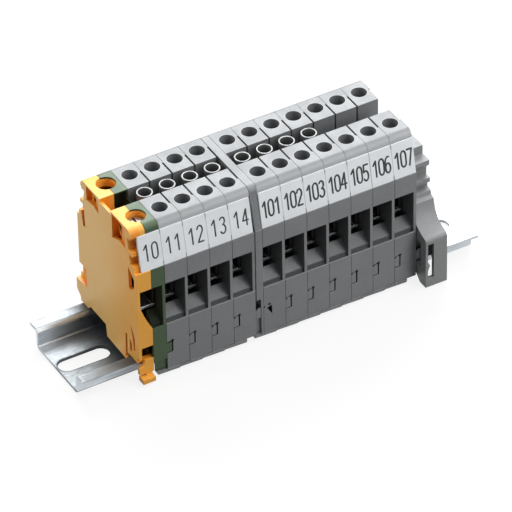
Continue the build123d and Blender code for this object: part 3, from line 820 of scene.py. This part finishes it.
class STRIP_OT_stage(StripOperator, bpy.types.Operator):
    """Pale floor, soft lamps and the camera at the photograph's angle"""

    bl_idname = "strip.stage"
    bl_label = "Stage"

    def execute(self, context):
        scene = context.scene
        scene.view_settings.view_transform = "Standard"
        self.world(scene)
        self.floor()
        self.lamps()
        self.camera(scene)
        return {"FINISHED"}

    def world(self, scene):
        """White room where the camera looks, nearly as white in reflections, and dim as light."""
        world = bpy.data.worlds.new("Soft room")
        world.use_nodes = True
        tree = world.node_tree
        tree.nodes.clear()
        dim = {"Color": COOL_WHITE, "Strength": ROOM_LIGHT}
        mixed = add_node(tree, "ShaderNodeBackground", None, dim)
        seen = (("Is Glossy Ray", COOL_WHITE, ROOM_REFLECTED), ("Is Camera Ray", WHITE, 1.0))
        for ray, colour, strength in seen:
            path = add_node(tree, "ShaderNodeLightPath", out=ray)
            room = add_node(tree, "ShaderNodeBackground", None, {"Color": colour, "Strength": strength})
            mixed = add_node(tree, "ShaderNodeMixShader", None, {0: path, 1: mixed, 2: room})
        add_node(tree, "ShaderNodeOutputWorld", None, {"Surface": mixed})
        scene.world = world

    def floor(self):
        """Wide white floor that keeps a faint shadow and throws only a little light back up."""
        mesh = bpy.data.meshes.new("floor")
        reach = FLOOR_REACH
        corners = [(-reach, -reach, 0), (reach, -reach, 0), (reach, reach, 0), (-reach, reach, 0)]
        mesh.from_pydata(corners, [], [(0, 1, 2, 3)])
        made = linked("floor", mesh)
        shader = Shader("pale floor")
        cloud = shader.noise(blob=40.0).ramp(0.3, 0.7)
        camera_ray = Value(shader, shader.node("ShaderNodeLightPath", out="Is Camera Ray"))
        glossy_ray = Value(shader, shader.node("ShaderNodeLightPath", out="Is Glossy Ray"))
        seen = shader.mix(cloud, tinted(WHITE, 0.84), tinted(WHITE, 0.86))
        colour = shader.mix(camera_ray, tinted(WHITE, FLOOR_BOUNCE), seen)
        paper = shader.node("ShaderNodeBsdfDiffuse", None, {"Color": colour})
        glow = shader.node("ShaderNodeEmission", None, {"Color": WHITE, "Strength": 1.0})
        share = camera_ray * FLOOR_SEEN + glossy_ray * FLOOR_REFLECTED
        mixed = shader.node("ShaderNodeMixShader", None, {0: share, 1: paper, 2: glow})
        mesh.materials.append(shader.finish(mixed))

    def lamp(self, name, place, size, power, colour):
        """Soft box that looks at the middle of the strip."""
        data = bpy.data.lights.new(name, "AREA")
        data.shape = "RECTANGLE"
        data.size, data.size_y = size
        data.energy = power
        data.color = colour
        made = bpy.data.objects.new(name, data)
        bpy.context.scene.collection.objects.link(made)
        made.location = place
        aim = Vector(place) - LAMP_TARGET
        made.rotation_euler = aim.to_track_quat("Z", "Y").to_euler()

    def lamps(self):
        """Strong box behind for the sheen on the tops, weaker ones above, at the left and in front."""
        self.lamp("back box", (0.41, 0.79, 0.74), (1.0, 0.7), 18.0, (0.97, 0.99, 1.0))
        self.lamp("top box", (0.3, -0.16, 0.85), (0.8, 0.7), 6.6, WHITE)
        self.lamp("left box", (-0.8, 0.35, 0.45), (0.4, 0.4), 2.9, WHITE)
        self.lamp("front box", (0.5, -0.78, 0.5), (0.5, 0.5), 3.6, WHITE)

    def camera(self, scene):
        """Long lens at the photograph's angle, kept unshifted."""
        azimuth, elevation, roll = (math.radians(angle) for angle in (-29.37, 38.238, -1.10))
        right = Vector((math.cos(azimuth), math.sin(azimuth), 0.0))
        flat = math.cos(elevation)
        back = Vector((math.sin(azimuth) * flat, -math.cos(azimuth) * flat, math.sin(elevation)))
        up = back.cross(right)
        turned_right = right * math.cos(roll) + up * math.sin(roll)
        turned_up = up * math.cos(roll) - right * math.sin(roll)
        to_right, upwards, away = -0.125, 12.921, 1681.276
        place = (turned_right * to_right + turned_up * upwards + back * away) * MM
        data = bpy.data.cameras.new("camera")
        data.sensor_width = 36.0
        data.lens = 371.56
        made = bpy.data.objects.new("camera", data)
        scene.collection.objects.link(made)
        rotation = Matrix((turned_right, turned_up, back)).transposed().to_4x4()
        made.matrix_world = Matrix.Translation(place) @ rotation
        scene.camera = made


class STRIP_OT_rail(StripOperator, bpy.types.Operator):
    """Zinc-plated top-hat rail with softened edges"""

    bl_idname = "strip.rail"
    bl_label = "Rail"

    def execute(self, context):
        moulded("rail", rolled_zinc("zinc strip", colours().zinc), "zinc_steel", 0.1)
        return {"FINISHED"}


class STRIP_OT_grey(StripOperator, bpy.types.Operator):
    """Grey terminal shells and the thick end cover"""

    bl_idname = "strip.grey_shells"
    bl_label = "Grey shells"

    def execute(self, context):
        plastics = {}
        for first in (1, FIRST_GROUP + 1):
            marks = grey_marks(well_places(first, sizes().well))
            plastics[first] = moulded_plastic(f"grey moulding {first}", colours().grey, 0.42, marks=marks)
        for i in range(1, GREY_COUNT + 1):
            plastic = plastics[1 if i <= FIRST_GROUP else FIRST_GROUP + 1]
            shape = grey_shape(middle_of(f"screw_front_{i:02d}").x)
            moulded(f"housing_{i:02d}", plastic, "grey_plastic", sizes().edge / MM, reshape=shape)
        plain = moulded_plastic("grey cover", colours().grey, 0.42)
        moulded("end_cover", plain, "grey_plastic", sizes().edge / MM)
        return {"FINISHED"}


class STRIP_OT_ground(StripOperator, bpy.types.Operator):
    """Yellow and green halves of the ground terminal"""

    bl_idname = "strip.ground_shells"
    bl_label = "Ground shells"

    def execute(self, context):
        left = node_box("ground_yellow_shell")[0].x
        well = well_places(0, sizes().ground_well)
        marks = yellow_marks(left, colours().pale, well)
        yellow = moulded_plastic("yellow moulding", colours().yellow, 0.44, 0.4, marks)
        green = moulded_plastic("green moulding", colours().green, 0.42, 0.4, green_marks(well["top"]))
        moulded("ground_yellow_shell", yellow, "yellow_plastic", sizes().edge / MM)
        self.web(left, yellow)
        moulded("ground_green_shell", green, "green_plastic", sizes().edge / MM, reshape=entry_floor)
        return {"FINISHED"}

    def web(self, left, plastic):
        """Thin wall behind the yellow shell's back notch, which the photograph shows closed."""
        depth, thickness, notch_y, notch_z = 1.2, 0.5, (14.5, FACE_Y), (17.6, 26.4)
        low = (left + depth, notch_y[0], notch_z[0])
        high = (left + depth + thickness, notch_y[1], notch_z[1])
        work = bmesh.new()
        bmesh.ops.create_cube(work, size=1.0)
        for vertex in work.verts:
            vertex.co = [(low[i] if vertex.co[i] < 0 else high[i]) * MM for i in range(3)]
        mesh = bpy.data.meshes.new("ground_yellow_web")
        work.to_mesh(mesh)
        work.free()
        mesh.materials.append(plastic)
        finish_piece(linked("ground_yellow_web", mesh), BODY, "yellow_plastic")


class STRIP_OT_bracket(StripOperator, bpy.types.Operator):
    """End bracket with its ribs and screwdriver slot"""

    bl_idname = "strip.end_bracket"
    bl_label = "End bracket"

    def execute(self, context):
        plastic = moulded_plastic("bracket moulding", colours().bracket, 0.45)
        moulded("end_bracket", plastic, "bracket_plastic", sizes().edge / MM)
        return {"FINISHED"}


def arc(centre, radii, start, end, count=10):
    """Points on an ellipse between two angles in degrees."""
    points = []
    for i in range(count + 1):
        angle = math.radians(start + (end - start) * i / count)
        points.append((centre[0] + radii[0] * math.cos(angle), centre[1] + radii[1] * math.sin(angle)))
    return points


def figure_strokes(figure):
    """Strokes of one figure in a cell 1 wide and 1 high."""
    zero = arc((0.5, 0.72), (0.5, 0.28), 0, 180) + arc((0.5, 0.28), (0.5, 0.28), 180, 360)
    low = arc((0.5, 0.25), (0.5, 0.25), 90, -140, 14)
    strokes = {
        "0": [zero + [(1.0, 0.72)]],
        "1": [[(0.15, 0.74), (0.65, 1.0), (0.65, 0.0)]],
        "2": [arc((0.5, 0.74), (0.48, 0.26), 165, -25) + [(0.02, 0.0), (1.0, 0.0)]],
        "3": [arc((0.48, 0.77), (0.44, 0.23), 150, -90) + arc((0.48, 0.27), (0.5, 0.27), 90, -150)],
        "4": [[(0.72, 0.0), (0.72, 1.0), (0.0, 0.3), (1.0, 0.3)]],
        "5": [[(0.95, 1.0), (0.14, 1.0), (0.08, 0.55)] + arc((0.47, 0.31), (0.5, 0.31), 125, -145)],
        "6": [arc((0.62, 0.62), (0.6, 0.38), 75, 180) + arc((0.51, 0.3), (0.49, 0.3), 180, 540, 20)],
        "7": [[(0.0, 1.0), (1.0, 1.0), (0.36, 0.0)]],
    }
    strokes["8"] = [arc((0.5, 0.77), (0.42, 0.23), -90, 270, 20), low]
    strokes["9"] = [[(1 - x, 1 - y) for x, y in strokes["6"][0]]]
    return strokes[figure]


# How much shorter the wide ground tag is at its left end than in the CAD, in millimetres.
TAG_TRIM = 0.85

# Numbers: gap between two figures as a share of their width, and how wide a figure is drawn, for
# short numbers and for those of three figures or more.
SHORT_NUMBER = (0.62, 1.0)
LONG_NUMBER = (0.3, 0.92)


class STRIP_OT_tags(StripOperator, bpy.types.Operator):
    """White tag strips with plain numbers drawn by a pen"""

    bl_idname = "strip.tags"
    bl_label = "Tags and numbers"

    def execute(self, context):
        step = sizes().pitch / MM
        starts = {"tags_a": self.seam(1, step), "tags_b": self.seam(FIRST_GROUP + 1, step)}
        starts["tags_c"] = starts["tags_b"]
        for node, start in starts.items():
            material = tag_plastic(f"{node} stock", colours().tag, start, step)
            reshape = self.trimmed if node == "tags_a" else None
            moulded(node, material, "white_tag", 0.06, 1, reshape)
        self.numbers(step, starts["tags_a"], starts["tags_b"])
        return {"FINISHED"}

    def trimmed(self, x, y, z):
        """Moves the wide ground tag's left end in to where the photograph has it."""
        left = node_box("tags_a")[0].x
        return (left + TAG_TRIM if near(x, left) else x), y, z

    def seam(self, number, step):
        """Place along the rail where the tag of a terminal begins."""
        return middle_of(f"screw_front_{number:02d}").x - step / 2

    def numbers(self, step, first, second):
        """Numbers of the three strips, each strip's in one piece."""
        strokes = stroke_tree(ink("marker ink", colours().number))
        labels = [(sizes().ground_number, (node_box("tags_a")[0].x + TAG_TRIM + first) / 2)]
        labels += self.counted(sizes().first_number, first, step, FIRST_GROUP)
        self.write("numbers_a", labels, strokes, sizes().pen)
        labels = self.counted(sizes().second_number, second, step, GREY_COUNT - FIRST_GROUP)
        long_strip = [label for label in labels if label[1] < node_box("tags_b")[1].x]
        self.write("numbers_b", long_strip, strokes, sizes().bold_pen)
        self.write("numbers_c", labels[len(long_strip):], strokes, sizes().bold_pen)

    def counted(self, number, start, step, count):
        """Numbers that count up from one, each with its middle on a tag."""
        return [(str(number + i), start + (i + 0.5) * step) for i in range(count)]

    def write(self, name, labels, strokes, pen):
        """Draws labels flat, then lays them on the tags' slanted front."""
        width = sizes().number_width / MM
        height = sizes().number_height / MM
        curve = bpy.data.curves.new(name, "CURVE")
        curve.dimensions = "3D"
        for text, middle in labels:
            gap, share = LONG_NUMBER if len(text) > 2 else SHORT_NUMBER
            each = width * share
            total = len(text) * each + (len(text) - 1) * gap * each
            for index, figure in enumerate(text):
                left = middle - total / 2 + index * each * (1 + gap)
                for points in figure_strokes(figure):
                    spline = curve.splines.new("POLY")
                    spline.points.add(len(points) - 1)
                    for point, (x, y) in zip(spline.points, points):
                        point.co = ((left + x * each) * MM, (y - 0.5) * height * MM, 0.0, 1.0)
        drawn = linked(name, curve)
        add_tree(drawn, strokes, {"Pen Radius": pen})
        made = linked(f"{name}_strokes", evaluated_mesh(drawn))
        bpy.data.objects.remove(drawn)
        made.data.transform(self.slant())
        finish_piece(made, BODY, "white_tag")

    def slant(self):
        """Matrix that lays the flat numbers on the tags' slanted front."""
        points = [vertex.co / MM for vertex in frame["nodes"]["tags_a"].data.vertices]
        high = max(point.z for point in points)
        low = min(point.z for point in points)
        top = Vector((0.0, min(point.y for point in points if point.z > high - 0.01), high))
        foot = Vector((0.0, min(point.y for point in points if point.z < low + 0.01), low))
        up = (top - foot).normalized()
        right = Vector((1.0, 0.0, 0.0))
        out = right.cross(up)
        middle = (top + foot) / 2
        turn = Matrix((right, up, out)).transposed().to_4x4()
        return Matrix.Translation(middle * MM) @ turn


class STRIP_OT_screws(StripOperator, bpy.types.Operator):
    """Slotted clamping screws and bridge screws, one plain mesh for each body"""

    bl_idname = "strip.screws"
    bl_label = "Screws"

    def execute(self, context):
        tree = screw_tree(turned_metal("screw plating", colours().screw, 0.3))
        for side in ("front", "back"):
            self.screw(tree, f"screw_{side}_00", GROUND_SCREW)
            for i in range(1, GREY_COUNT + 1):
                self.screw(tree, f"screw_{side}_{i:02d}", CLAMP_SCREW)
        for i in range(1, BRIDGE_SCREWS + 1):
            self.screw(tree, f"bridge_screw_{i}", BRIDGE_SCREW)
        return {"FINISHED"}

    def screw(self, tree, node, measures):
        """One screw in place of its CAD node, with the node's length."""
        low, high = node_box(node)
        made = linked(f"{node}_turned", bpy.data.meshes.new(f"{node}_turned"))
        values = {label: value * MM for label, value in measures.items()}
        values["Shank Length"] = (high.z - low.z - measures["Head Height"]) * MM
        values["Chamfer"] = sizes().chamfer
        turned(made, tree, values)
        middle = middle_of(node)
        made.data.transform(Matrix.Translation(Vector((middle.x, middle.y, low.z)) * MM))
        finish_piece(made, body_of(node), "screw_metal", node)


class STRIP_OT_bridges(StripOperator, bpy.types.Operator):
    """Bridge bars and the round sleeves in the valley"""

    bl_idname = "strip.bridges"
    bl_label = "Bridges and sleeves"

    def execute(self, context):
        bar = turned_metal("tinned bar", colours().bar, 0.32)
        for node in ("bridge_bar_a", "bridge_bar_b"):
            moulded(node, bar, "nickel_brass", 0.08, 1)
        low, high = node_box("bridge_sleeves")
        middle = (low.z + high.z) / 2
        along = [middle_of(f"bridge_screw_{i}").x for i in range(1, BRIDGE_SCREWS + 1)]
        mesh = bpy.data.meshes.new("bridge_sleeves_turned")
        mesh.from_pydata([(x * MM, 0.0, middle * MM) for x in along], [], [])
        made = linked("bridge_sleeves_turned", mesh)
        tree = sleeve_tree(turned_metal("sleeve metal", colours().sleeve, 0.5))
        radius = (high.y - low.y) / 2
        turned(made, tree, {"Radius": radius * MM, "Height": (high.z - low.z) * MM, "Rim": sizes().rim})
        finish_piece(made, BODY, "sleeve_metal", "bridge_sleeves")
        return {"FINISHED"}


class STRIP_OT_inner(StripOperator, bpy.types.Operator):
    """Clamp cages, current bars and the ground terminal's rail clamp"""

    bl_idname = "strip.inner_metal"
    bl_label = "Inner metal"

    def execute(self, context):
        foot = node_box("clamp_cages")[0].z
        # Band of the cages' lip where the glint is painted.
        lip = (foot - LIP_MARGIN, foot + CAGE_SHEET)
        cage = turned_metal("cage plating", colours().cage, 0.4, 0.8, lip)
        clamp = turned_metal("rail clamp plating", colours().cage, 0.34, 0.8)
        bar = turned_metal("current bar plating", colours().bar, 0.35)
        moulded("clamp_cages", cage, "plated_steel", 0.1)
        moulded("ground_rail_clamp", clamp, "plated_steel", 0.1)
        moulded("current_bars", bar, "nickel_brass", 0.08, 1)
        return {"FINISHED"}


OPERATORS = (
    STRIP_OT_stage, STRIP_OT_rail, STRIP_OT_grey, STRIP_OT_ground, STRIP_OT_bracket, STRIP_OT_tags,
    STRIP_OT_screws, STRIP_OT_bridges, STRIP_OT_inner,
)


class STRIP_PT_panel(bpy.types.Panel):
    """Lists the strip's operators, sizes and colours"""

    bl_label = "Terminal strip"
    bl_space_type = "VIEW_3D"
    bl_region_type = "UI"
    bl_category = "Terminal strip"

    def draw(self, context):
        layout = self.layout
        for group in (context.scene.strip_sizes, context.scene.strip_colours):
            for name in group.__annotations__:
                layout.prop(group, name)
        for operator in OPERATORS:
            layout.operator(operator.bl_idname)


CLASSES = (StripColours, StripSizes, *OPERATORS, STRIP_PT_panel)


def register():
    for cls in CLASSES:
        bpy.utils.register_class(cls)
    bpy.types.Scene.strip_colours = PointerProperty(type=StripColours)
    bpy.types.Scene.strip_sizes = PointerProperty(type=StripSizes)


def unregister():
    del bpy.types.Scene.strip_sizes
    del bpy.types.Scene.strip_colours
    for cls in reversed(CLASSES):
        bpy.utils.unregister_class(cls)


def main():
    """Builds the whole scene."""
    register()
    for operator in OPERATORS:
        group, name = operator.bl_idname.split(".")
        getattr(getattr(bpy.ops, group), name)()


if __name__ == "__main__":
    main()
